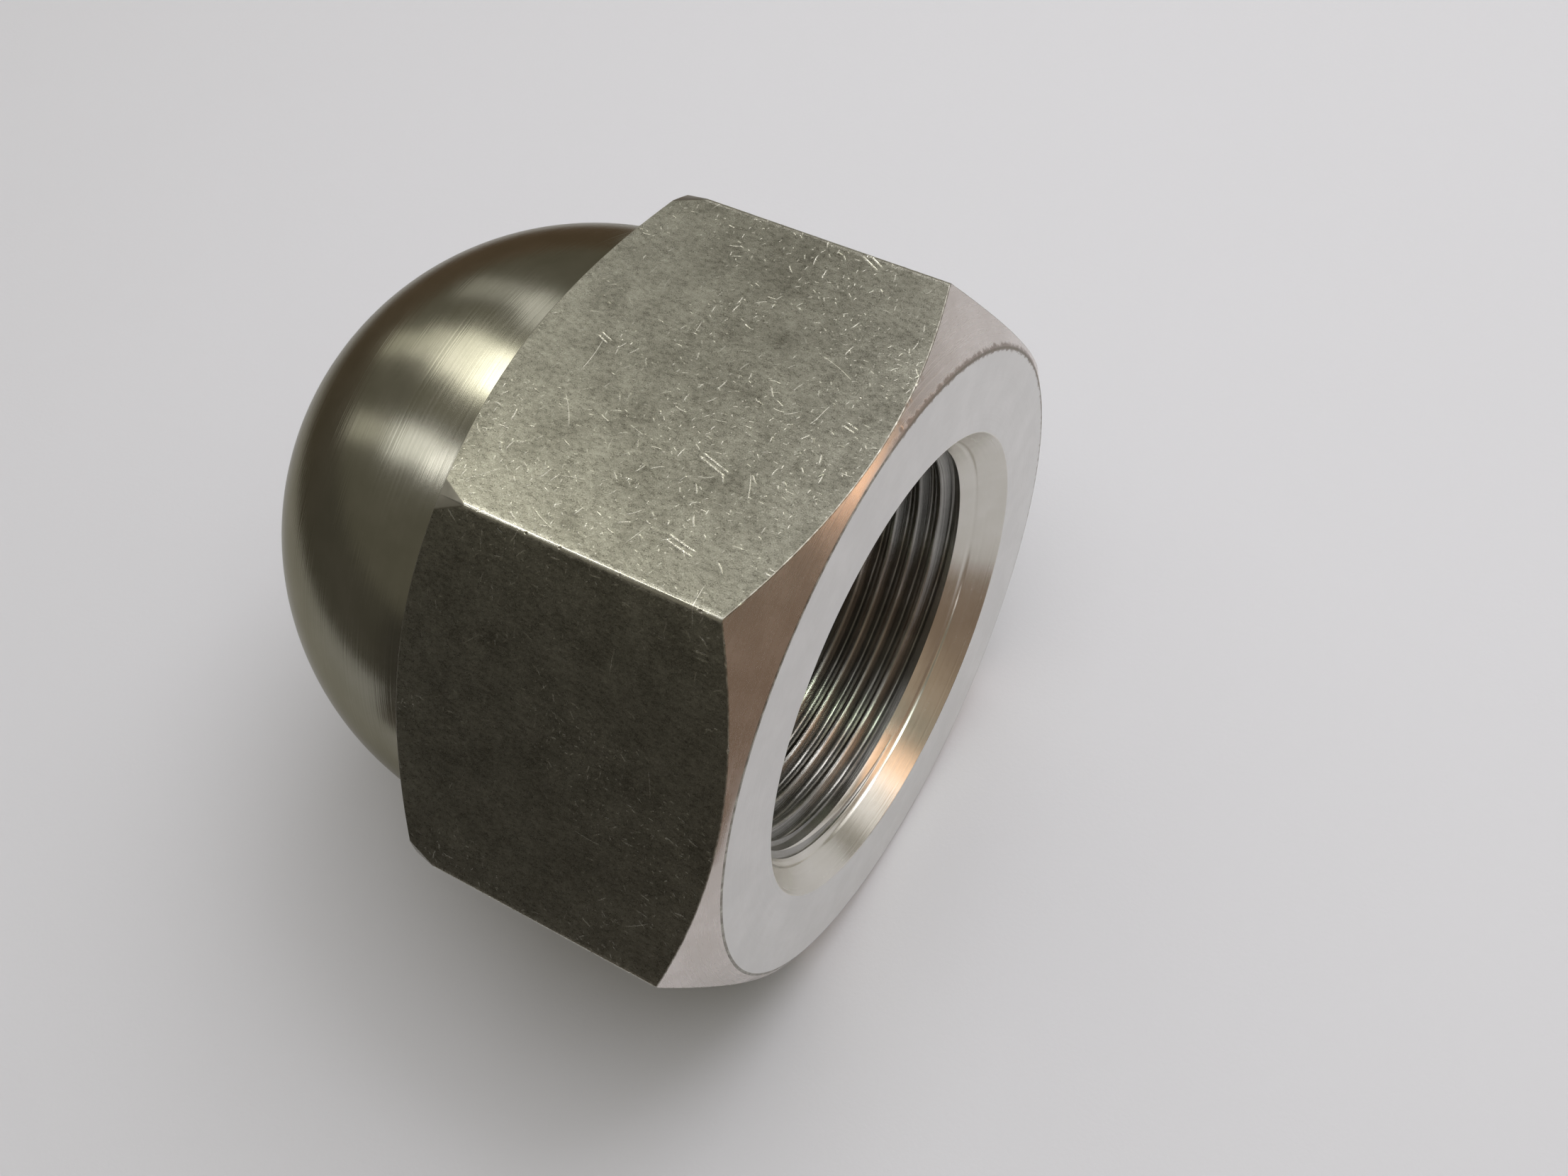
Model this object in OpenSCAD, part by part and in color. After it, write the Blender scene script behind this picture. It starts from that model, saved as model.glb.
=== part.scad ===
/* [Hexagon] */
// Width across two opposite flats of the hexagon bar
across_flats = 41; // [36:0.5:60]
// Length of the hexagon, from the bearing face to the foot of the dome
hex_h = 21.4; // [16:0.1:32]
// Radius rolled along the six long corners of the bar
corner_r = 0.25; // [0.1:0.05:1]

/* [Bearing face] */
// How far the flat bearing face stops inside the flats
face_inset = 0.55; // [0.1:0.05:2]
// Slope of the chamfer round the bearing face, against that face
face_chamfer = 31.5; // [15:0.5:45]

/* [Dome] */
// How far the foot of the spherical dome stops inside the flats
dome_inset = 0.8; // [0.2:0.05:3]
// Slope of the chamfer that runs down to the foot of the dome
dome_chamfer = 31.5; // [15:0.5:45]
// Depth taken off the long corners where they meet the chamfer at the dome end
corner_ease = 0.47; // [0.35:0.01:1.2]
// Slope of the eased corners, against the axis
ease_slope = 14; // [8:1:30]

/* [Thread] */
// Nominal diameter of the thread
thread_d = 27; // [14:1:30]
// Pitch of the thread
pitch = 1.5; // [1:0.25:3]
// How far the countersink opens outside the thread, on each side
sink_margin = 1.35; // [0.3:0.05:3]
// Full angle of the countersink
sink_angle = 71; // [60:1:90]
// Metal left between the drill point and the top of the dome
crown_t = 3.5; // [1.5:0.1:10]
// Full angle of the drill point at the bottom of the hole
point_angle = 118; // [100:1:140]

/* [Hidden] */
$fn = 96;
// Thread depth of a 60 degree internal thread, as a share of its pitch
THREAD_DEPTH = 5 / 8 * cos(30);
// How far shapes run past the face that they cut or join
OVERCUT = 1;
// Angle between neighbouring flats of the hexagon
FLAT_STEP = 60;
// Turns what the lathe cuts by half a step, so that none of its seams falls on a corner of the bar
SEAM_TURN = 180 / $fn;

flat_r = across_flats / 2;
// Radius to the long corners while they are still sharp
corner_reach = flat_r / cos(FLAT_STEP / 2);
// A radius that clears the corners of the bar
clear_r = corner_reach + OVERCUT;
face_r = flat_r - face_inset;
dome_r = flat_r - dome_inset;
ease_r = corner_reach - corner_ease;
total_h = hex_h + dome_r;
bore_r = thread_d / 2 - THREAD_DEPTH * pitch;
sink_r = thread_d / 2 + sink_margin;
sink_h = (sink_r - bore_r) / tan(sink_angle / 2);
point_h = bore_r / tan(point_angle / 2);
drill_h = total_h - crown_t - point_h;
// Height where the dome-end chamfer meets the eased corners
ease_h = hex_h - (ease_r - dome_r) * tan(dome_chamfer);

function polar(r, a) = [r * cos(a), r * sin(a)];

// Section of the bar: six flats joined by small round corners, with a flat towards +X
module bar_section() {
    corner_at = (flat_r - corner_r) / cos(FLAT_STEP / 2);
    corners = [for (i = [0:5]) (i + 0.5) * FLAT_STEP];
    polygon([
        for (a = corners, side = [-1, 1])
            polar(corner_at, a) + polar(corner_r, a + side * FLAT_STEP / 2)
    ]);
    for (a = corners)
        translate(polar(corner_at, a)) circle(r = corner_r);
}

// The hexagon bar that the nut is cut from
module bar() {
    translate([0, 0, -OVERCUT])
        linear_extrude(height = total_h + 2 * OVERCUT) bar_section();
}

// A form cut on the lathe from half of its section
module turned() {
    rotate(SEAM_TURN) rotate_extrude() children();
}

// Half section of all that the lathe leaves outside: bearing face, both chamfers, eased corners and dome
module outer_section() {
    polygon([
        [0, 0],
        [face_r, 0],
        [clear_r, (clear_r - face_r) * tan(face_chamfer)],
        [clear_r, ease_h - (clear_r - ease_r) / tan(ease_slope)],
        [ease_r, ease_h],
        [dome_r, hex_h],
        [0, hex_h]
    ]);
    translate([0, hex_h])
        intersection() {
            circle(r = dome_r);
            translate([0, -OVERCUT]) square([dome_r, dome_r + OVERCUT]);
        }
}

// Half section of the hole: countersink, tapping size and the cone left by the drill
module hole_section() {
    polygon([
        [0, -OVERCUT],
        [sink_r + OVERCUT * tan(sink_angle / 2), -OVERCUT],
        [bore_r, sink_h],
        [bore_r, drill_h],
        [0, drill_h + point_h]
    ]);
}

// The nut as it is turned: bearing face at z = 0, dome upwards
module turned_nut() {
    difference() {
        intersection() {
            bar();
            turned() outer_section();
        }
        turned() hole_section();
    }
}

// The nut lying on one flat, with its mouth towards +X and its dome towards -X
module cap_nut() {
    color([0.62, 0.61, 0.57])
        translate([total_h / 2, 0, flat_r])
            rotate([0, -90, 0]) turned_nut();
}

cap_nut();
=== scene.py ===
"""A domed cap nut turned from hexagon bar, lying on one of its flats on pale paper.

The nut is one piece. The bar is cut to the lathe's form, its edges are broken, a tap cuts the
thread, and small knocks are left along the edges. It is modelled in millimetres about its own axis
and set down in metres at the end, because the cuts are too fine for Blender's tools in metres.
"""

import logging
import math
import random
from contextlib import contextmanager
from dataclasses import dataclass
from enum import IntEnum
from typing import Any, Callable, Iterator, Sequence

import bpy
from bpy.types import Material, MeshEdge, Object
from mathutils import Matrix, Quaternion, Vector


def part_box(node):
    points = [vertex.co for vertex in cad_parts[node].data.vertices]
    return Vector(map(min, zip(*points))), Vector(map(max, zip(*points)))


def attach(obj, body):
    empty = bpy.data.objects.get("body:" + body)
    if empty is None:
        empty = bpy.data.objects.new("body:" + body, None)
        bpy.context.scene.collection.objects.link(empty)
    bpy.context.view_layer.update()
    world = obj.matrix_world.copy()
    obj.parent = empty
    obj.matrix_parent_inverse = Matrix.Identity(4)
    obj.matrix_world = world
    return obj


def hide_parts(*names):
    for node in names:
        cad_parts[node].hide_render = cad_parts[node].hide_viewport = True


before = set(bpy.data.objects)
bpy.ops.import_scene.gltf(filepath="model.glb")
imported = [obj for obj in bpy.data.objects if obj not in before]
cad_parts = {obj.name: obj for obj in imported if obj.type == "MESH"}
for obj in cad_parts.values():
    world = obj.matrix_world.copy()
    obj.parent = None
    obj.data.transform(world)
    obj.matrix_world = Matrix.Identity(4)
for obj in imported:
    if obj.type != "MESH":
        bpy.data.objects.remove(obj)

MM = 0.001
TURN = 2 * math.pi
COS30 = math.cos(math.radians(30))
# How far a shape runs past the face that it cuts, in millimetres
OVERCUT = 1.0
# Distance in millimetres under which two vertices are one
NEAR = 1e-4
NODE = "cap_nut"
BODY = "root"

Colour = tuple[float, float, float]
Place = tuple[float, float, float]
Point = tuple[float, float]

log = logging.getLogger("cap_nut")


def rise(degrees: float) -> float:
    """Gives the tangent of an angle in degrees."""
    return math.tan(math.radians(degrees))


# ---- sizes


@dataclass(frozen=True)
class NutSizes:
    """Sizes of the nut in millimetres and degrees, named as in the part's source."""

    across_flats: float = 41.0
    hex_h: float = 21.4
    corner_r: float = 0.25
    face_inset: float = 0.55
    face_chamfer: float = 31.5
    dome_inset: float = 0.8
    dome_chamfer: float = 31.5
    corner_ease: float = 0.47
    ease_slope: float = 14.0
    thread_d: float = 27.0
    pitch: float = 1.5
    sink_margin: float = 1.35
    sink_angle: float = 71.0
    crown_t: float = 3.5
    point_angle: float = 118.0

    @property
    def flat_r(self) -> float:
        """Distance from the axis to a flat."""
        return self.across_flats / 2

    @property
    def corner_reach(self) -> float:
        """Radius to the long corners while they are sharp."""
        return self.flat_r / COS30

    @property
    def face_r(self) -> float:
        """Outer radius of the bearing face."""
        return self.flat_r - self.face_inset

    @property
    def dome_r(self) -> float:
        """Radius of the dome."""
        return self.flat_r - self.dome_inset

    @property
    def ease_r(self) -> float:
        """Radius of the eased corners where the dome-end chamfer meets them."""
        return self.corner_reach - self.corner_ease

    @property
    def total_h(self) -> float:
        """Length from the bearing face to the top of the dome."""
        return self.hex_h + self.dome_r

    @property
    def bore_r(self) -> float:
        """Radius of the tapping hole."""
        return self.thread_d / 2 - 5 / 8 * COS30 * self.pitch

    @property
    def sink_r(self) -> float:
        """Radius of the countersink at the bearing face."""
        return self.thread_d / 2 + self.sink_margin

    @property
    def point_h(self) -> float:
        """Length of the cone left by the drill."""
        return self.bore_r / rise(self.point_angle / 2)

    @property
    def drill_h(self) -> float:
        """Depth of the full width of the drilled hole."""
        return self.total_h - self.crown_t - self.point_h

    @property
    def ease_h(self) -> float:
        """Height where the dome-end chamfer meets the eased corners."""
        return self.hex_h - (self.ease_r - self.dome_r) * rise(self.dome_chamfer)


class Surface(IntEnum):
    """The kinds of surface on the nut, in the order of its material slots."""

    FLAT = 0
    CHAMFER = 1
    BEARING = 2
    SINK = 3
    THREAD = 4
    DOME = 5
    SHOULDER = 6
    EDGE = 7


# ---- modelling by hand, in code


def deselect() -> None:
    """Leaves nothing selected."""
    bpy.ops.object.select_all(action="DESELECT")


def pick(piece: Object) -> None:
    """Selects one piece and makes it active.

    Args:
        piece: The object that the next operators work on.
    """
    deselect()
    piece.select_set(True)
    bpy.context.view_layer.objects.active = piece


@contextmanager
def editing(piece: Object) -> Iterator[None]:
    """Opens a piece in edit mode and closes it again.

    Args:
        piece: The object to edit.

    Returns:
        An iterator for the with statement.
    """
    pick(piece)
    bpy.context.tool_settings.mesh_select_mode = (True, False, False)
    bpy.ops.object.mode_set(mode="EDIT")
    try:
        yield
    finally:
        bpy.ops.object.mode_set(mode="OBJECT")


def select_edges(piece: Object, wanted: Callable[[MeshEdge], bool]) -> int:
    """Selects edges by a test. The piece is in object mode.

    Args:
        piece: The object whose edges are looked at.
        wanted: A function of an edge that says whether to take it.

    Returns:
        How many edges are selected.
    """
    mesh = piece.data
    mesh.polygons.foreach_set("select", [False] * len(mesh.polygons))
    mesh.vertices.foreach_set("select", [False] * len(mesh.vertices))
    count = 0
    for edge in mesh.edges:
        edge.select = bool(wanted(edge))
        if edge.select:
            count += 1
            for index in edge.vertices:
                mesh.vertices[index].select = True
    return count


def chain(name: str, points: Sequence[Point]) -> Object:
    """Draws an open half section by extruding one vertex from point to point.

    Args:
        name: Name of the new object.
        points: Places along the axis and distances from it, in millimetres.

    Returns:
        An object with the section in its XZ plane.
    """
    deselect()
    bpy.ops.mesh.primitive_plane_add(size=1, location=(0, 0, 0))
    piece = bpy.context.active_object
    piece.name = piece.data.name = name
    with editing(piece):
        bpy.ops.mesh.select_all(action="SELECT")
        bpy.ops.mesh.merge(type="CENTER")
        bpy.ops.transform.translate(value=(points[0][0], 0, points[0][1]))
        for (x0, r0), (x1, r1) in zip(points, points[1:]):
            bpy.ops.mesh.extrude_region_move(TRANSFORM_OT_translate={"value": (x1 - x0, 0, r1 - r0)})
    return piece


def clean(piece: Object, near: float = NEAR) -> None:
    """Merges doubles and turns all faces outwards.

    Args:
        piece: The object to clean.
        near: Distance under which vertices are one.
    """
    with editing(piece):
        bpy.ops.mesh.select_all(action="SELECT")
        bpy.ops.mesh.remove_doubles(threshold=near)
        bpy.ops.mesh.normals_make_consistent(inside=False)


def discard(piece: Object) -> None:
    """Removes an object and its mesh.

    Args:
        piece: The object to remove.
    """
    mesh = piece.data
    bpy.data.objects.remove(piece)
    bpy.data.meshes.remove(mesh)


def cut(piece: Object, tool: Object, operation: str) -> None:
    """Cuts a piece with a tool and throws the tool away.

    Args:
        piece: The object to cut.
        tool: The object that cuts it.
        operation: INTERSECT or DIFFERENCE.
    """
    pick(piece)
    modifier = piece.modifiers.new("cut", "BOOLEAN")
    modifier.operation = operation
    modifier.solver = "EXACT"
    modifier.material_mode = "INDEX"
    modifier.object = tool
    bpy.ops.object.modifier_apply(modifier=modifier.name)
    discard(tool)


def fillet(before: Point, corner: Point, after: Point, reach: float, steps: int) -> list[Point]:
    """Rounds one corner of a section with an arc.

    Args:
        before: The point before the corner.
        corner: The corner itself.
        after: The point after it.
        reach: Distance from the corner to each end of the arc.
        steps: Number of straight pieces in the arc.

    Returns:
        The points of the arc, its two ends among them.
    """
    start = Vector(corner) + (Vector(before) - Vector(corner)).normalized() * reach
    end = Vector(corner) + (Vector(after) - Vector(corner)).normalized() * reach
    half = (start - Vector(corner)).angle(end - Vector(corner)) / 2
    middle = Vector(corner) + ((start + end) / 2 - Vector(corner)).normalized() * reach / math.cos(half)
    first, last = start - middle, end - middle
    swing = first.angle_signed(last)
    points = []
    for i in range(steps + 1):
        turn = -swing * i / steps
        c, s = math.cos(turn), math.sin(turn)
        points.append((middle.x + first.x * c - first.y * s, middle.y + first.x * s + first.y * c))
    return points


@dataclass(frozen=True)
class HexagonBar:
    """The bar that the nut is cut from, with its axis along X."""

    sizes: NutSizes
    corner_steps: int = 5

    def build(self) -> Object:
        """Makes the bar with small rounds along its six corners.

        Returns:
            The bar, from beyond the bearing face to beyond the top of the dome.
        """
        sizes = self.sizes
        length = sizes.total_h + 2 * OVERCUT
        deselect()
        bpy.ops.mesh.primitive_cylinder_add(
            vertices=6, radius=sizes.corner_reach, depth=length,
            location=(-sizes.total_h / 2, 0, 0), rotation=(0, TURN / 4, 0),
        )
        bar = bpy.context.active_object
        bar.name = bar.data.name = NODE + "_steel"
        bpy.ops.object.transform_apply(location=True, rotation=True, scale=True)
        vertices = bar.data.vertices

        def is_long(edge: MeshEdge) -> bool:
            """Takes the edges that run along the bar."""
            a, b = (vertices[i].co for i in edge.vertices)
            return abs(a.x - b.x) > length / 2

        select_edges(bar, is_long)
        with editing(bar):
            reach = sizes.corner_r * rise(30)
            bpy.ops.mesh.bevel(offset=reach, segments=self.corner_steps, profile=0.5, affect="EDGES")
        return bar


@dataclass(frozen=True)
class TurnedForm:
    """All that the lathe and the drill leave, as one closed form turned about X.

    The countersink carries one shallow ring, ring_at behind the bearing face, and a short relief
    lies between it and the thread.
    """

    sizes: NutSizes
    steps: int = 192
    dome_rings: int = 48
    rim_break: float = 0.09
    mouth_break: float = 0.05
    ring_at: float = 1.65
    ring_half: float = 0.2
    ring_depth: float = 0.045
    ring_steps: int = 8
    relief_r: float = 13.1
    relief_h: float = 0.55
    relief_slope: float = 0.4

    def section(self) -> list[tuple[Point, Surface]]:
        """Gives the half section from the drill point round to the top of the dome.

        Returns:
            Points, each with the surface that runs from it to the next one.
        """
        s = self.sizes
        clear = s.corner_reach + OVERCUT
        mouth, rim = (0.0, s.sink_r), (0.0, s.face_r)
        slope = rise(s.sink_angle / 2)
        throat = (-(s.sink_r - self.relief_r) / slope, self.relief_r)
        relief_end = throat[0] - self.relief_h
        bore_start = relief_end - (self.relief_r - s.bore_r) * self.relief_slope
        skirt = (-(clear - s.face_r) * rise(s.face_chamfer), clear)
        ease_low = -(s.ease_h - (clear - s.ease_r) / rise(s.ease_slope))
        points: list[tuple[Point, Surface]] = [
            ((-s.drill_h - s.point_h, 0.0), Surface.THREAD),
            ((-s.drill_h, s.bore_r), Surface.THREAD),
            ((bore_start, s.bore_r), Surface.THREAD),
            ((relief_end, self.relief_r), Surface.THREAD),
            (throat, Surface.SINK),
        ]
        for i in range(self.ring_steps + 1):
            side = 1 - 2 * i / self.ring_steps
            depth = self.ring_at + side * self.ring_half
            deeper = self.ring_depth * (1 + math.cos(math.pi * side)) / 2
            points.append(((-depth, s.sink_r - depth * slope + deeper), Surface.SINK))
        rounded = fillet(throat, mouth, rim, self.mouth_break, 2)
        points += [(p, Surface.SINK) for p in rounded[:-1]] + [(rounded[-1], Surface.BEARING)]
        rounded = fillet(mouth, rim, skirt, self.rim_break, 3)
        points += [(p, Surface.EDGE) for p in rounded[:-1]] + [(rounded[-1], Surface.CHAMFER)]
        points += [
            (skirt, Surface.SHOULDER),
            ((ease_low, clear), Surface.SHOULDER),
            ((-s.ease_h, s.ease_r), Surface.SHOULDER),
        ]
        for i in range(self.dome_rings + 1):
            turn = math.pi / 2 * i / self.dome_rings
            x, r = s.dome_r * math.sin(turn), s.dome_r * math.cos(turn)
            points.append(((-s.hex_h - x, r), Surface.DOME))
        points[-1] = ((points[-1][0][0], 0.0), Surface.DOME)
        return points

    def build(self) -> Object:
        """Spins the section into a closed form.

        Returns:
            The turned form, with its surfaces marked as material numbers.
        """
        section = self.section()
        form = chain("turned_form", [point for point, _ in section])
        with editing(form):
            bpy.ops.mesh.select_all(action="SELECT")
            bpy.ops.mesh.spin(steps=self.steps, angle=TURN, center=(0, 0, 0), axis=(1, 0, 0))
        clean(form)
        marks = [
            ((a[0] + b[0]) / 2, (a[1] + b[1]) / 2, surface)
            for (a, surface), (b, _) in zip(section, section[1:])
        ]
        vertices = form.data.vertices
        for face in form.data.polygons:
            ends = [vertices[i].co for i in face.vertices]
            x = (min(v.x for v in ends) + max(v.x for v in ends)) / 2
            radii = [math.hypot(v.y, v.z) for v in ends]
            r = (min(radii) + max(radii)) / 2
            face.material_index = min(marks, key=lambda m: (m[0] - x) ** 2 + (m[1] - r) ** 2)[2]
        return form


@dataclass(frozen=True)
class Tap:
    """The tap that cuts the thread, as a ridge wound round a core inside the hole.

    Straight above the axis a groove lies groove_depth behind the bearing face. The tap reaches at
    least out_turns past that face, and lead_turns at its far end are tapered.
    """

    sizes: NutSizes
    steps: int = 144
    core_gap: float = 0.3
    groove_depth: float = 1.125
    turns: int = 20
    out_turns: float = 1.5
    lead_turns: float = 2.2
    crest_round: float = 0.26
    crest_steps: int = 4
    crest_dip: float = 0.004
    root_round: float = 0.16
    root_steps: int = 3
    core_step: float = 0.03

    @property
    def core_r(self) -> float:
        """Radius of the core, which clears the wall of the hole."""
        return self.sizes.bore_r - self.core_gap

    def profile(self) -> list[Point]:
        """Gives one pitch of the ridge: core, hollow that rounds a crest, flank and rounded root.

        Returns:
            Places along the axis and distances from it.
        """
        s = self.sizes
        flank = rise(30)
        tip_r = s.thread_d / 2
        tip_half = s.pitch / 16
        crest = tip_half + (tip_r - s.bore_r) * flank + self.crest_round * flank
        points = [(-s.pitch / 2, self.core_r), (-crest - self.core_step, self.core_r)]
        for i in range(self.crest_steps + 1):
            turn = math.radians(60) * i / self.crest_steps
            x = -crest + self.crest_round * math.sin(turn)
            r = s.bore_r + self.crest_round * (1 - math.cos(turn))
            points.append((x, r if i else r - self.crest_dip))
        middle_r = tip_r + tip_half / flank - 2 * self.root_round
        for i in range(self.root_steps):
            turn = math.radians(60) * (1 - i / self.root_steps)
            x, r = self.root_round * math.sin(turn), self.root_round * math.cos(turn)
            points.append((-x, middle_r + r))
        back = [(-x, r) for x, r in reversed(points)]
        return points + [(0.0, middle_r + self.root_round)] + back

    def build(self) -> Object:
        """Winds the ridge, closes both ends and tapers the far one.

        Returns:
            The tap, with its threads reaching out of the mouth.
        """
        s = self.sizes
        tap = chain("tap", self.profile())
        pick(tap)
        screw = tap.modifiers.new("wind", "SCREW")
        screw.axis = "X"
        screw.angle = TURN
        screw.screw_offset = s.pitch
        screw.iterations = self.turns
        screw.steps = screw.render_steps = self.steps
        screw.use_merge_vertices = False
        bpy.ops.object.modifier_apply(modifier=screw.name)
        clean(tap)
        self._close(tap)
        vertices = tap.data.vertices
        reach = max(v.co.x for v in vertices)
        turns_out = math.ceil((self.out_turns * s.pitch + self.groove_depth - reach) / s.pitch)
        shift = turns_out * s.pitch - self.groove_depth
        low = min(v.co.x for v in vertices) + shift
        for vertex in vertices:
            co = vertex.co
            co.x += shift
            self._taper(co, (co.x - low) / (self.lead_turns * s.pitch))
        for face in tap.data.polygons:
            face.material_index = Surface.THREAD
        return tap

    def _taper(self, co: Vector, keep: float) -> None:
        """Draws a vertex of the ridge in towards the core.

        Args:
            co: The vertex's place, which is changed.
            keep: How much of the ridge stays: none from 0 down, and all from 1 up.
        """
        radius = math.hypot(co.y, co.z)
        if keep < 1.0 and radius > self.core_r + 10 * NEAR:
            wanted = self.core_r + (radius - self.core_r) * max(0.0, keep)
            co.y *= wanted / radius
            co.z *= wanted / radius

    def _close(self, tap: Object) -> None:
        """Closes each open end of the wound ridge with a fan to a point on the axis.

        Args:
            tap: The open ridge.
        """
        middle = sum(v.co.x for v in tap.data.vertices) / len(tap.data.vertices)
        for side in (-1, 1):
            with editing(tap):
                bpy.ops.mesh.select_mode(type="EDGE")
                bpy.ops.mesh.select_all(action="DESELECT")
                bpy.ops.mesh.select_non_manifold(
                    extend=False, use_wire=False, use_multi_face=False,
                    use_non_contiguous=False, use_verts=False,
                )
            vertices = tap.data.vertices

            def on_side(edge: MeshEdge) -> bool:
                """Keeps the open edges of this end."""
                x = vertices[edge.vertices[0]].co.x
                return edge.select and (x - middle) * side > 0

            select_edges(tap, on_side)
            places = [v.co.copy() for v in vertices if v.select]
            centre_x = (min(p.x for p in places) + max(p.x for p in places)) / 2
            with editing(tap):
                bpy.ops.mesh.select_mode(type="EDGE")
                bpy.ops.mesh.extrude_region_move(TRANSFORM_OT_translate={"value": (0, 0, 0)})
                bpy.ops.mesh.merge(type="CENTER")
            for vertex in vertices:
                if vertex.select:
                    vertex.co = (centre_x, 0, 0)
        clean(tap, NEAR / 10)


@dataclass(frozen=True)
class Knocks:
    """Small dents along the edges, where the nut has knocked against others.

    Those on the long corners keep clear of the mouth and of the eased stretch at the foot. Those on
    the rims lie up to rim_swing degrees from the middle of a flat, and point outwards and forwards.
    """

    sizes: NutSizes
    seed: int = 11
    on_corners: int = 54
    on_rims: int = 60
    mouth_clear: float = 2.2
    foot_clear: float = 4.4
    rim_swing: float = 28.5
    rim_out: float = 0.8
    rim_forward: float = 0.45
    apart: float = 0.9
    smallest: float = 0.1875
    flattest: float = 0.7
    shallow: float = 0.035
    deep: float = 0.065

    def places(self) -> list[tuple[Vector, Vector]]:
        """Chooses where the dents are.

        Returns:
            Places on the edges, each with the way out of the metal.
        """
        s = self.sizes
        chance = random.Random(self.seed)
        tried: list[tuple[Vector, Vector]] = []
        for _ in range(self.on_corners):
            turn = math.radians(30 + 60 * chance.randrange(6))
            out = Vector((0, math.sin(turn), math.cos(turn)))
            reach = s.corner_reach - s.corner_r * (1 / COS30 - 1)
            depth = chance.uniform(self.mouth_clear, s.hex_h - self.foot_clear)
            tried.append((out * reach + Vector((-depth, 0, 0)), out))
        for _ in range(self.on_rims):
            side = 60 * chance.randrange(6)
            swing = math.radians(chance.uniform(-self.rim_swing, self.rim_swing))
            turn = math.radians(side) + swing
            y, z = math.sin(turn), math.cos(turn)
            radius = s.flat_r / math.cos(swing)
            depth = (radius - s.face_r) * rise(s.face_chamfer)
            out = Vector((self.rim_forward, y * self.rim_out, z * self.rim_out)).normalized()
            tried.append((Vector((-depth, y * radius, z * radius)), out))
        kept: list[tuple[Vector, Vector]] = []
        for place, out in tried:
            if all((place - other).length > self.apart for other, _ in kept):
                kept.append((place, out))
        return kept

    def build(self) -> Object:
        """Joins one small ball for each dent into one cutter.

        Returns:
            The cutter.
        """
        chance = random.Random(self.seed + 1)
        deselect()
        bpy.ops.mesh.primitive_ico_sphere_add(subdivisions=2, radius=1.0, location=(0, 0, 0))
        first = bpy.context.active_object
        balls = []
        for place, out in self.places():
            radius = chance.uniform(self.smallest, self.apart / 2)
            depth = chance.uniform(self.shallow, self.deep)
            ball = first.copy()
            ball.data = first.data.copy()
            ball.location = place + out * (radius - depth)
            ball.scale = (radius, radius * chance.uniform(self.flattest, 1.0), radius)
            ball.rotation_euler = (chance.uniform(0, TURN), chance.uniform(0, TURN), 0)
            bpy.context.scene.collection.objects.link(ball)
            balls.append(ball)
        discard(first)
        deselect()
        for ball in balls:
            ball.select_set(True)
        bpy.context.view_layer.objects.active = balls[0]
        bpy.ops.object.join()
        cutter = bpy.context.active_object
        bpy.ops.object.transform_apply(location=True, rotation=True, scale=True)
        for face in cutter.data.polygons:
            face.material_index = Surface.EDGE
        log.info("%d knocks", len(balls))
        return cutter


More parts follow.
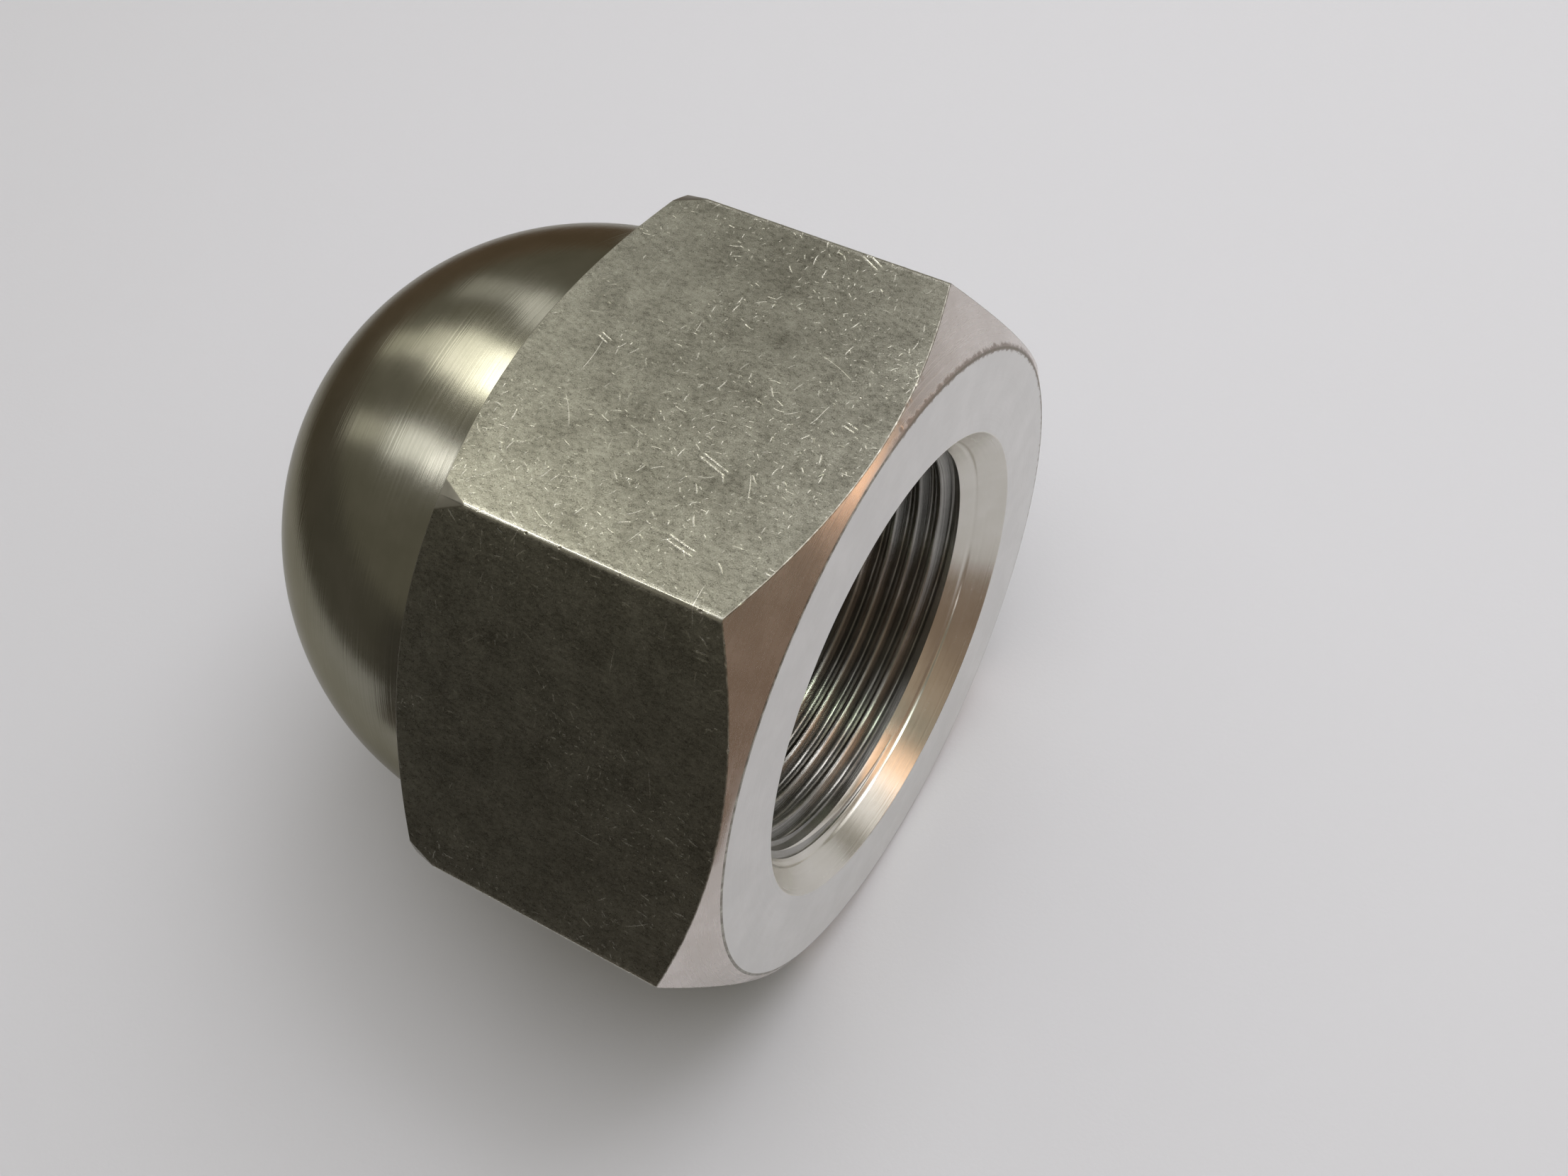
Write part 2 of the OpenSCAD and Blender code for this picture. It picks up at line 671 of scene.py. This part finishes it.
@dataclass
class CapNut:
    """The nut: hexagon, chamfers, dome, countersink and blind thread, all in one piece."""

    sizes: NutSizes
    low: Vector
    high: Vector
    edge_break: float = 0.06
    foot_break: float = 0.05
    edge_steps: int = 2
    smooth_below: float = 25.0

    def build(self, finishes: Sequence[Material]) -> Object:
        """Makes the nut from its bar and sets it down in its place.

        Args:
            finishes: One material for each surface, in the order of the surfaces.

        Returns:
            The finished piece, in metres.
        """
        nut = HexagonBar(self.sizes).build()
        form = TurnedForm(self.sizes).build()
        for piece in (nut, form):
            for finish in finishes:
                piece.data.materials.append(finish)
        cut(nut, form, "INTERSECT")
        clean(nut)
        self._break_edges(nut)
        for tool in (Knocks(self.sizes).build(), Tap(self.sizes).build()):
            for finish in finishes:
                tool.data.materials.append(finish)
            cut(nut, tool, "DIFFERENCE")
            clean(nut)
        self._set_down(nut)
        self._shade(nut)
        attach(nut, BODY)
        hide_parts(NODE)
        return nut

    def _break_edges(self, nut: Object) -> None:
        """Breaks the sharp edges where the chamfers cut the flats.

        Args:
            nut: The cut nut.
        """
        mesh = nut.data
        for at_dome, width, finish in (
            (False, self.edge_break, Surface.EDGE),
            (True, self.foot_break, Surface.SHOULDER),
        ):
            beside: dict[tuple[int, int], set[int]] = {}
            for face in mesh.polygons:
                for key in face.edge_keys:
                    beside.setdefault(key, set()).add(face.material_index)

            def is_rim(edge: MeshEdge) -> bool:
                """Takes the edges at one end between the bar's faces and what the lathe cut."""
                far = mesh.vertices[edge.vertices[0]].co.x < -self.sizes.hex_h / 2
                return far == at_dome and len(beside[edge.key]) == 2 and Surface.FLAT in beside[edge.key]

            count = select_edges(nut, is_rim)
            with editing(nut):
                bpy.ops.mesh.bevel(
                    offset=width, segments=self.edge_steps, profile=0.5, affect="EDGES",
                    clamp_overlap=False, material=finish,
                )
            log.info("broke %d pieces of edge", count)

    def _set_down(self, nut: Object) -> None:
        """Moves the nut from its own axis to its place and turns millimetres to metres.

        Args:
            nut: The nut about the X axis, with its bearing face at x = 0.
        """
        axis_z = (self.low.z + self.high.z) / 2
        nut.scale = (MM, MM, MM)
        nut.location = (self.high.x, 0, axis_z)
        pick(nut)
        bpy.ops.object.transform_apply(location=True, rotation=True, scale=True)

    def _shade(self, nut: Object) -> None:
        """Shades the rounds smooth and keeps the flats flat.

        Args:
            nut: The finished mesh.
        """
        pick(nut)
        bpy.ops.object.shade_smooth_by_angle(angle=math.radians(self.smooth_below))
        weigh = nut.modifiers.new("weigh", "WEIGHTED_NORMAL")
        weigh.keep_sharp = True
        bpy.ops.object.modifier_apply(modifier=weigh.name)


# ---- shader maths


class Value:
    """A socket of a shader, with arithmetic that adds Math nodes."""

    def __init__(self, shader: "Shader", socket: Any) -> None:
        """Keeps the socket and the shader that it belongs to."""
        self.shader = shader
        self.socket = socket

    def _math(self, operation: str, *others: Any, clamp: bool = False) -> "Value":
        """Adds one Math node.

        Args:
            operation: Blender's name for the operation.
            others: The values after this one.
            clamp: Whether the result is kept between 0 and 1.

        Returns:
            The result.
        """
        settings = {"operation": operation, "use_clamp": clamp}
        inputs = dict(enumerate((self, *others)))
        return self.shader.node("ShaderNodeMath", settings, inputs)

    def __add__(self, other: Any) -> "Value":
        """Adds."""
        return self._math("ADD", other)

    __radd__ = __add__

    def __sub__(self, other: Any) -> "Value":
        """Subtracts."""
        return self._math("SUBTRACT", other)

    def __rsub__(self, other: Any) -> "Value":
        """Subtracts this from a number."""
        return self.shader.node("ShaderNodeMath", {"operation": "SUBTRACT"}, {0: other, 1: self})

    def __mul__(self, other: Any) -> "Value":
        """Multiplies."""
        return self._math("MULTIPLY", other)

    __rmul__ = __mul__

    def __pow__(self, other: Any) -> "Value":
        """Raises to a power."""
        return self._math("POWER", other)

    def clamped(self) -> "Value":
        """Keeps the value between 0 and 1."""
        return self._math("ADD", 0.0, clamp=True)

    def most(self, other: Any) -> "Value":
        """Takes the larger of two."""
        return self._math("MAXIMUM", other)

    def size(self) -> "Value":
        """Drops the sign."""
        return self._math("ABSOLUTE")

    def wave(self) -> "Value":
        """Gives the sine."""
        return self._math("SINE")

    def turn_from(self, other: Any) -> "Value":
        """Gives the angle whose tangent is this over the other."""
        return self._math("ARCTAN2", other)

    def ramp(self, start: float, end: float) -> "Value":
        """Goes smoothly from 0 to 1.

        Args:
            start: Where it begins to rise. It may be above end.
            end: Where it reaches 1.

        Returns:
            The smooth step.
        """
        settings = {"interpolation_type": "SMOOTHSTEP", "clamp": True}
        inputs = {"Value": self, "From Min": start, "From Max": end, "To Min": 0.0, "To Max": 1.0}
        return self.shader.node("ShaderNodeMapRange", settings, inputs)

    def beside(self, output: str) -> "Value":
        """Gives another output of the node that this one comes from."""
        return Value(self.shader, self.socket.node.outputs[output])


class Shader:
    """A material's node tree, built from typed calls."""

    def __init__(self, name: str) -> None:
        """Makes an empty material.

        Args:
            name: Name of the material.
        """
        self.material = bpy.data.materials.new(name)
        self.material.use_nodes = True
        self.tree = self.material.node_tree
        self.tree.nodes.clear()

    def node(
        self, kind: str, settings: dict[str, Any], inputs: dict[Any, Any], output: Any = 0
    ) -> Value:
        """Adds one node, sets it and feeds it.

        Args:
            kind: The node's type.
            settings: Its properties, set first.
            inputs: Values or links of its sockets, by name or place.
            output: Name or place of the socket to give back.

        Returns:
            The chosen output.
        """
        made = self.tree.nodes.new(kind)
        for key, value in settings.items():
            setattr(made, key, value)
        for key, value in inputs.items():
            if isinstance(value, Value):
                self.tree.links.new(value.socket, made.inputs[key])
            else:
                made.inputs[key].default_value = value
        return Value(self, made.outputs[output]) if len(made.outputs) else Value(self, None)

    def place(self) -> Value:
        """Gives the place on the object in millimetres."""
        place = self.node("ShaderNodeTexCoord", {}, {}, "Object")
        return self.vector("MULTIPLY", place, (1 / MM,) * 3)

    def vector(self, operation: str, first: Value, second: Any) -> Value:
        """Works on two vectors part by part, by Blender's name for the operation."""
        return self.node("ShaderNodeVectorMath", {"operation": operation}, {0: first, 1: second})

    def parts(self, vector: Value) -> tuple[Value, Value, Value]:
        """Splits a vector into its three parts."""
        x = self.node("ShaderNodeSeparateXYZ", {}, {0: vector})
        return x, x.beside("Y"), x.beside("Z")

    def noise(self, place: Value, scale: float, detail: float, rough: float) -> Value:
        """Gives soft noise in space, about 0.5 in the middle, with scale spots to a millimetre."""
        inputs = {"Vector": place, "Scale": scale, "Detail": detail, "Roughness": rough}
        return self.node("ShaderNodeTexNoise", {"noise_dimensions": "3D"}, inputs)

    def lines(self, along: Value, scale: float, rough: float) -> Value:
        """Gives noise that changes along one value only, as a cutter's marks do."""
        inputs = {"W": along, "Scale": scale, "Detail": 2.0, "Roughness": rough}
        return self.node("ShaderNodeTexNoise", {"noise_dimensions": "1D"}, inputs)

    def spots(self, place: Value, scale: float) -> Value:
        """Gives the distance to the nearest of many scattered points, in cells."""
        inputs = {"Vector": place, "Scale": scale}
        return self.node("ShaderNodeTexVoronoi", {"feature": "F1"}, inputs, "Distance")

    def strokes(self, u: Value, v: Value, mark: "Stroke") -> Value:
        """Scatters short strokes over a surface, one in each cell, each turned its own way.

        Args:
            u: First place on the surface, in millimetres.
            v: Second place on the surface, in millimetres.
            mark: Size, number and form of the strokes.

        Returns:
            1 on a stroke and 0 beside it.
        """
        flat = self.node("ShaderNodeCombineXYZ", {}, {0: u + mark.offset, 1: v - mark.offset})
        flat = self.vector("MULTIPLY", flat, (1 / mark.cell,) * 3)
        inputs = {"Vector": flat, "Scale": 1.0}
        cells = self.node("ShaderNodeTexVoronoi", {"voronoi_dimensions": "2D"}, inputs, "Color")
        chance, turn, size = self.parts(cells)
        local = self.vector("SUBTRACT", flat, cells.beside("Position"))
        x, y, _ = self.parts(self.vector("MULTIPLY", local, (mark.cell,) * 3))
        angle = mark.lean + (turn - 0.5) * mark.spread
        c, s = (angle + math.pi / 2).wave(), angle.wave()
        along = x * c + y * s
        across = (y * c - x * s + along * along * mark.bow).size()
        if mark.gap:
            across = (across - mark.gap).size()
        half = (0.35 + size * 0.65) * mark.length * 0.5
        body = across.ramp(mark.width, mark.width * 0.35)
        ends = (along.size() - half).ramp(0.0, -0.25 * mark.length)
        return body * ends * chance.ramp(1 - mark.share - 0.01, 1 - mark.share + 0.01)

    def blend(self, factor: Any, first: Any, second: Any) -> Value:
        """Mixes two colours or links, from all of the first at 0 to all of the second at 1."""
        first, second = (c if isinstance(c, Value) else (*c, 1.0) for c in (first, second))
        return self.node("ShaderNodeMix", {"data_type": "RGBA"}, {0: factor, 6: first, 7: second}, 2)

    def bump(self, height: Value, depth: float) -> Value:
        """Turns a height of about 0 to 1 into a normal, where 1 is depth millimetres."""
        inputs = {"Height": height, "Distance": depth * MM, "Strength": 1.0}
        return self.node("ShaderNodeBump", {}, inputs)

    def finish(self, inputs: dict[str, Any]) -> Material:
        """Ends the tree with a surface, whose sockets take the inputs.

        Args:
            inputs: Values or links, by the names of the sockets.

        Returns:
            The finished material.
        """
        shader = self.node("ShaderNodeBsdfPrincipled", {}, inputs)
        self.node("ShaderNodeOutputMaterial", {}, {"Surface": shader})
        return self.material

    def metal(
        self, colour: Value, roughness: Value, normal: Value, glance: Colour = (1.0, 1.0, 1.0)
    ) -> Material:
        """Ends the tree with bare metal, whose reflections at a low angle have the glance tint."""
        inputs = {"Base Color": colour, "Roughness": roughness, "Normal": normal, "Metallic": 1.0}
        return self.finish({**inputs, "Specular Tint": (*glance, 1.0)})


# ---- finishes


@dataclass(frozen=True)
class Stroke:
    """One kind of scratch or nick, in millimetres and radians.

    The cell is the room that each stroke has, share says how many cells hold one, lean and spread
    say which way they point, bow bends them, and gap makes each one a pair.
    """

    cell: float
    length: float
    width: float
    share: float = 1.0
    lean: float = 0.0
    spread: float = TURN
    bow: float = 0.0
    gap: float = 0.0
    offset: float = 0.0


@dataclass(frozen=True)
class Turned:
    """Steel as the lathe left it, with rings round the axis.

    Lines are counted per millimetre and depths are in millimetres. The dome's rings follow its
    sphere, and the thread's run along it as well. A worn band lies about the radius worn_r.
    """

    name: str
    axis_z: float
    light: Colour = (0.74, 0.72, 0.67)
    dark: Colour = (0.64, 0.62, 0.56)
    worn: Colour = (0.20, 0.165, 0.14)
    glance: Colour = (1.0, 1.0, 1.0)
    roughness: float = 0.27
    line_scale: float = 8.0
    line_depth: float = 0.006
    axial: float = 0.0
    broad: float = 0.8
    grain: float = 0.06
    mottle: float = 0.08
    patch: float = 0.35
    worn_r: float = 0.0
    worn_half: float = 0.0
    dome_x: float | None = None
    dome_r: float = 0.0

    def make(self) -> Material:
        """Builds the material.

        Returns:
            The material.
        """
        s = Shader(self.name)
        place = s.place()
        x, y, z = s.parts(s.vector("ADD", place, (0, 0, -self.axis_z)))
        radius = (y * y + z * z) ** 0.5
        if self.dome_x is None:
            along = radius + x * self.axial
        else:
            along = radius.turn_from(self.dome_x - x) * self.dome_r
        fine = s.lines(along, self.line_scale, 0.7)
        broad = s.lines(along + 7.3, self.line_scale / 5, 0.6)
        cloud = s.noise(place, self.patch, 4.0, 0.6)
        grain = s.noise(place, 6.0, 3.0, 0.6)
        stain = ((cloud - 0.42) * 3.0).clamped()
        colour = s.blend(stain * 0.8 + broad * 0.2, self.dark, self.light)
        rough = self.roughness + (cloud - 0.5) * self.mottle + (fine - 0.5) * 0.1
        height = fine + broad * self.broad + grain * self.grain
        if self.worn_r:
            ragged = s.noise(place, 2.2, 4.0, 0.7)
            reach = self.worn_half + (ragged - 0.5) * 0.7
            near = (reach - (radius - self.worn_r).size()).ramp(-0.06, 0.14)
            beyond = radius - self.worn_r
            pits = s.spots(place, 1.1).ramp(0.24, 0.1) * beyond.ramp(1.9, 0.9) * beyond.ramp(0.05, 0.2)
            near = near.most(pits * y.ramp(6.0, 4.5)) * y.ramp(-0.5, 2.5) * z.ramp(-14.0, -4.0)
            colour = s.blend(near * 0.7, colour, self.worn)
            rough = rough + near * 0.2
            height = height - near * 1.5
        return s.metal(colour, rough, s.bump(height, self.line_depth), self.glance)


@dataclass(frozen=True)
class Drawn:
    """Steel as the bar was drawn, dulled and knocked about by handling."""

    name: str
    axis_z: float
    light: Colour = (0.40, 0.395, 0.335)
    dark: Colour = (0.17, 0.165, 0.135)
    # Bare metal in the marks, and the colour of the painted glints.
    bare_metal_and_glint: Colour = (0.84, 0.83, 0.75)
    roughness: float = 0.29
    unroll: float = 21.5
    rub_r: float = 23.5
    nicks: Stroke = Stroke(cell=0.5, length=0.36, width=0.036, share=0.6)
    cuts: Stroke = Stroke(cell=1.1, length=0.9, width=0.044, share=0.6, bow=0.3, offset=5.2)
    chips: Stroke = Stroke(cell=1.6, length=0.5, width=0.07, share=0.4, offset=3.7)
    scratches: Stroke = Stroke(cell=4.2, length=3.0, width=0.03, share=0.45, bow=0.06, offset=8.1)
    pairs: Stroke = Stroke(cell=5.2, length=2.2, width=0.07, share=0.4, spread=1.2, gap=0.14, offset=1.3)

    def make(self) -> Material:
        """Builds the material.

        Returns:
            The material.
        """
        s = Shader(self.name)
        place = s.place()
        x, y, z = s.parts(s.vector("ADD", place, (0, 0, -self.axis_z)))
        radius = (y * y + z * z) ** 0.5
        round_axis = (y * 0.5 + z * COS30).turn_from(z * 0.5 - y * COS30)
        across = round_axis * self.unroll
        patches = s.noise(place, 0.16, 3.0, 0.55)
        cloud = s.noise(place, 0.5, 4.0, 0.6)
        grain = s.noise(s.vector("MULTIPLY", place, (0.6, 1.0, 1.0)), 4.2, 4.0, 0.75)
        fine = s.noise(place, 13.0, 2.0, 0.7)
        rubbed = patches.ramp(0.42, 0.62)
        nick = s.strokes(x, across, self.nicks) * (rubbed * 0.8 + 0.2) * grain.ramp(0.4, 0.55)
        slit = s.strokes(x, across, self.cuts) * (rubbed * 0.7 + 0.3) * fine.ramp(0.3, 0.5)
        chip = s.strokes(x, across, self.chips) * (rubbed * 0.7 + 0.3)
        scratch = s.strokes(x, across, self.scratches) * fine.ramp(0.3, 0.5)
        pair = s.strokes(x, across, self.pairs) * fine.ramp(0.35, 0.5) * z.ramp(17.0, 20.3)
        # Painted glints: tiny bright specks in the colour where the rough flat would catch the light.
        painted_glints = fine.ramp(0.6, 0.68) * (rubbed * 0.8 + 0.2) * cloud.ramp(0.35, 0.6)
        # Painted light: marks and glints show more strongly on the top flat, which faces the lamps, than
        # on the others.
        painted_light_on_top = z.ramp(18.5, 20.3) * 0.6 + 0.4
        edge = (radius + (grain - 0.5) * 0.3).ramp(self.rub_r, self.rub_r + 0.12)
        shade = ((cloud - 0.5) * 1.2 + (grain - 0.5) * 1.7 + (fine - 0.5) * 1.6 + 0.45).clamped()
        base = s.blend(shade, self.dark, self.light)
        # Bright metal in nicks, slits, scratches, pairs and rubbed corners, with painted glints; the
        # nicks, slits, scratches and glints are stronger on the top flat by painted light.
        wear_and_glint = (nick * 0.55 + slit * 0.55 + scratch * 0.4 + painted_glints * 0.45) * painted_light_on_top
        wear_and_glint = (wear_and_glint + pair * 0.8 + edge * 0.5).clamped()
        colour = s.blend(wear_and_glint, base, self.bare_metal_and_glint)
        rough = self.roughness + (grain - 0.5) * 0.12 + (fine - 0.5) * 0.1 - wear_and_glint * 0.08
        dents = nick * 1.2 + slit * 1.2 + scratch * 0.8 + pair * 1.8 + chip * 2.0
        return s.metal(colour, rough, s.bump(grain * 0.7 + fine * 0.6 - dents, 0.008))


@dataclass(frozen=True)
class Paper:
    """The pale paper that the nut lies on."""

    name: str = "pale_paper"
    light: Colour = (0.80, 0.808, 0.85)
    dark: Colour = (0.785, 0.793, 0.83)

    def make(self) -> Material:
        """Builds the material.

        Returns:
            The material.
        """
        s = Shader(self.name)
        place = s.place()
        colour = s.blend(s.noise(place, 0.02, 3.0, 0.5), self.dark, self.light)
        normal = s.bump(s.noise(place, 3.0, 3.0, 0.6), 0.01)
        return s.finish({"Base Color": colour, "Roughness": 0.9, "Normal": normal})


# ---- studio


@dataclass(frozen=True)
class Softbox:
    """One flat lamp that faces the nut from a given direction.

    Directions, widths and heights are in degrees as the nut sees them, and distances in metres. Most
    lamps only show in reflections. One that lights falls on dull surfaces too.
    """

    name: str
    azimuth: float
    elevation: float
    width: float
    height: float
    radiance: float
    colour: Colour = (1.0, 1.0, 1.0)
    distance: float = 0.9
    lean: float = 0.0
    lights: bool = False
    mirrored: bool = True

    def build(self, target: Vector) -> Object:
        """Hangs the lamp.

        Args:
            target: What it faces, in metres.

        Returns:
            The lamp.
        """
        lamp = bpy.data.lights.new(self.name, "AREA")
        lamp.shape = "RECTANGLE"
        lamp.size = 2 * self.distance * rise(self.width / 2)
        lamp.size_y = 2 * self.distance * rise(self.height / 2)
        lamp.color = self.colour
        lamp.energy = self.radiance * math.pi * lamp.size * lamp.size_y
        piece = bpy.data.objects.new(self.name, lamp)
        turn, lift = math.radians(self.azimuth), math.radians(self.elevation)
        flat = math.cos(lift)
        way = Vector((math.sin(turn) * flat, math.cos(turn) * flat, math.sin(lift)))
        piece.location = target + way * self.distance
        turned = way.to_track_quat("Z", "Y") @ Quaternion((0, 0, 1), math.radians(self.lean))
        piece.rotation_euler = turned.to_euler()
        piece.visible_camera = False
        piece.visible_diffuse = self.lights
        piece.visible_glossy = self.mirrored
        bpy.context.scene.collection.objects.link(piece)
        return piece


@dataclass(frozen=True)
class PaintedReflectionWall:
    """A low dark glowing wall with a skirt, outside the view: a painted reflection for the steel alone.
    """

    name: str
    first: float
    last: float
    skirt: float
    radius: float = 0.085
    height: float = 0.04
    lift: float = 0.0003
    steps: int = 40
    # Colours that the wall glows with, seen only as painted reflections in the steel.
    dark: Colour = (0.075, 0.068, 0.058)
    brown: Colour = (0.21, 0.148, 0.105)
    brown_way: Point = (0.57, 0.82)
    brown_from: float = -80.0
    brown_to: float = 10.0

    def build(self) -> Object:
        """Stands the wall up by spinning its section.

        Returns:
            The wall.
        """
        turn = math.radians(self.first)
        way = Vector((math.sin(turn), math.cos(turn), 0))
        foot = way * (self.radius - self.skirt)
        deselect()
        bpy.ops.mesh.primitive_plane_add(size=1, location=(0, 0, 0))
        wall = bpy.context.active_object
        wall.name = wall.data.name = self.name
        with editing(wall):
            bpy.ops.mesh.select_all(action="SELECT")
            bpy.ops.mesh.merge(type="CENTER")
            bpy.ops.transform.translate(value=foot + Vector((0, 0, self.lift)))
            for step in (way * self.skirt, Vector((0, 0, self.height))):
                bpy.ops.mesh.extrude_region_move(TRANSFORM_OT_translate={"value": step})
            bpy.ops.mesh.select_all(action="SELECT")
            swing = math.radians(self.last - self.first)
            bpy.ops.mesh.spin(steps=self.steps, angle=swing, center=(0, 0, 0), axis=(0, 0, 1))
        s = Shader(self.name)
        x, y, _ = s.parts(s.place())
        # Painted reflection: the wall glows by emission, dark towards minus x and minus y and browner
        # towards plus x and plus y.
        reflected_tone = (x * self.brown_way[0] + y * self.brown_way[1]).ramp(self.brown_from, self.brown_to)
        painted_reflection_glow = {"Emission Color": s.blend(reflected_tone, self.dark, self.brown), "Emission Strength": 1.0}
        wall.data.materials.append(s.finish({"Base Color": (0, 0, 0, 1), "Roughness": 1.0, **painted_reflection_glow}))
        wall.visible_camera = False
        wall.visible_diffuse = False
        wall.visible_shadow = False
        return wall


@dataclass(frozen=True)
class Studio:
    """Floor, lamps, dim surroundings and the camera."""

    floor_size: float = 6.0
    floor_gap: float = 0.00002
    surround: Colour = (0.215, 0.20, 0.16)
    eye: Place = (0.0468640, -0.0434326, 0.1064870)
    look: Place = (33.35640, 5.27757, 29.96962)
    lens: float = 38.2483

    def build(self, target: Vector) -> None:
        """Sets up everything round the nut.

        Args:
            target: The middle of the nut, in metres.
        """
        self._floor()
        self._surround()
        for lamp in self.lamps():
            lamp.build(target)
            log.info("lamp %s", lamp.name)
        for wall in self.walls():
            wall.build()
            log.info("wall %s", wall.name)
        self._camera()
        bpy.context.scene.view_settings.view_transform = "Standard"

    @staticmethod
    def lamps() -> list[Softbox]:
        """Lists the lamps.

        Returns:
            The lamps: bands for the dome, spots for the mouth, and what lights the whole.
        """
        warm_white = (1.0, 0.985, 0.88)
        cool_white = (0.98, 0.97, 1.0)
        orange = (1.0, 0.60, 0.37)
        green = (0.86, 1.0, 0.80)
        return [
            Softbox("window_left", -122, 48, 7, 12, 3.8, cool_white),
            Softbox("window_left_tail", -109, 37, 9, 22, 2.2, lean=-28),
            Softbox("window_left_low", -97, 16, 6, 22, 0.8, warm_white, lean=-24),
            Softbox("window_middle", -74, 52, 16, 9, 3.9, warm_white),
            Softbox("window_middle_top", -72, 62, 14, 11, 8.0, warm_white),
            Softbox("window_middle_low", -73, 40, 14, 16, 2.6, warm_white),
            Softbox("window_middle_tail", -73, 26, 9, 14, 1.3, warm_white),
            Softbox("window_middle_foot", -74, 10, 6, 20, 0.9, warm_white),
            Softbox("window_right", -45, 38, 9, 16, 1.3),
            Softbox("window_right_tail", -53, 20, 7, 26, 0.6, lean=22),
            Softbox("green_lamp", 75, 57, 10, 11, 16.0, green),
            Softbox("dot_lamp", 135, 7, 6, 6, 3.0, cool_white, 0.075),
            Softbox("far_lamp", 55, 28, 9, 8, 1.8, distance=0.5),
            Softbox("near_lamp", 34, 38, 14, 12, 9.5, cool_white, 0.5),
            Softbox("warm_lamp", 57, 49, 8, 7, 4.0, orange, 0.5),
            Softbox("low_window", 34, 24, 34, 26, 0.8, cool_white, 0.5),
            Softbox("warm_screen", 67, 15, 14, 36, 1.6, orange, 0.3),
            Softbox("brown_screen", 110, 26, 34, 22, 0.2, orange, 0.4),
            Softbox("big_window", 15, 56, 40, 30, 2.05, cool_white, 0.4, lights=True),
            Softbox("ceiling", 70, 78, 46, 46, 1.1, cool_white, 0.4, lights=True),
            Softbox("floor_fill", 10, 76, 100, 80, 0.47, cool_white, 0.2, lights=True, mirrored=False),
        ]

    @staticmethod
    def walls() -> list[PaintedReflectionWall]:
        """Lists the glowing walls, painted reflections that only the steel sees.

        Returns:
            The walls, in the order of their azimuths.
        """
        return [
            PaintedReflectionWall("painted_reflection_wall_side", 75, 165, 0.012),
            PaintedReflectionWall("painted_reflection_wall_near", 165, 212, 0.035),
            PaintedReflectionWall("painted_reflection_wall_far", 212, 330, 0.001, dark=(0.12, 0.11, 0.09)),
        ]

    def _floor(self) -> None:
        """Lays the paper."""
        deselect()
        bpy.ops.mesh.primitive_plane_add(size=self.floor_size, location=(0, 0, -self.floor_gap))
        floor = bpy.context.active_object
        floor.name = floor.data.name = "paper_floor"
        bpy.ops.object.transform_apply(location=True, rotation=True, scale=True)
        floor.data.materials.append(Paper().make())

    def _surround(self) -> None:
        """Makes the dim room."""
        world = bpy.data.worlds.new("room")
        world.use_nodes = True
        background = world.node_tree.nodes["Background"]
        background.inputs["Color"].default_value = (*self.surround, 1.0)
        background.inputs["Strength"].default_value = 1.0
        bpy.context.scene.world = world

    def _camera(self) -> None:
        """Puts the camera up."""
        data = bpy.data.cameras.new("camera")
        data.sensor_fit = "HORIZONTAL"
        data.sensor_width = 36.0
        data.lens = self.lens
        data.clip_start = 0.005
        camera = bpy.data.objects.new("camera", data)
        camera.location = self.eye
        camera.rotation_euler = tuple(math.radians(a) for a in self.look)
        bpy.context.scene.collection.objects.link(camera)
        bpy.context.scene.camera = camera


# ---- building


def finishes(sizes: NutSizes, low: Vector, high: Vector) -> list[Material]:
    """Makes one material for each surface, in the order of the surfaces.

    Args:
        sizes: The nut's sizes.
        low: Lowest corner of its box, in metres.
        high: Highest corner of its box, in metres.

    Returns:
        The materials.
    """
    axis_z = (low.z + high.z) / 2 / MM
    dome_x = high.x / MM - sizes.hex_h
    made = {
        Surface.FLAT: Drawn("drawn_flat", axis_z),
        Surface.CHAMFER: Turned(
            "turned_chamfer", axis_z, light=(0.72, 0.67, 0.64), dark=(0.60, 0.55, 0.51),
            line_scale=5.0, line_depth=0.009, worn_r=sizes.face_r, worn_half=0.25,
        ),
        Surface.BEARING: Turned(
            "turned_bearing_face", axis_z, light=(0.76, 0.76, 0.755), dark=(0.68, 0.68, 0.67),
            roughness=0.42, grain=0.6, worn_r=sizes.face_r, worn_half=0.16,
        ),
        Surface.SINK: Turned("turned_countersink", axis_z, roughness=0.25, line_depth=0.004),
        Surface.THREAD: Turned(
            "cut_thread", axis_z, light=(0.42, 0.415, 0.39), dark=(0.30, 0.295, 0.275),
            roughness=0.2, line_scale=22.0, line_depth=0.012, axial=1.0,
        ),
        Surface.DOME: Turned(
            "turned_dome", axis_z, light=(0.34, 0.33, 0.28), dark=(0.28, 0.275, 0.225),
            roughness=0.2, line_scale=6.0, broad=0.6, grain=0.02, mottle=0.03,
            glance=(0.55, 0.53, 0.46), dome_x=dome_x, dome_r=sizes.dome_r,
        ),
        Surface.SHOULDER: Turned(
            "turned_shoulder", axis_z, light=(0.33, 0.32, 0.27), dark=(0.20, 0.19, 0.16), roughness=0.4,
        ),
        Surface.EDGE: Turned(
            "worn_edge", axis_z, light=(0.60, 0.59, 0.53), dark=(0.20, 0.185, 0.155),
            roughness=0.36, grain=1.2, patch=2.2, worn_r=sizes.face_r, worn_half=0.1,
        ),
    }
    return [made[surface].make() for surface in Surface]


def main() -> None:
    """Builds the nut and its studio, in order."""
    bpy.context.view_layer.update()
    low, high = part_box(NODE)
    sizes = NutSizes()
    nut = CapNut(sizes, low, high).build(finishes(sizes, low, high))
    log.info("%s: %d faces", nut.name, len(nut.data.polygons))
    Studio().build((low + high) / 2)


if __name__ == "__main__":
    logging.basicConfig(level=logging.INFO)
    main()
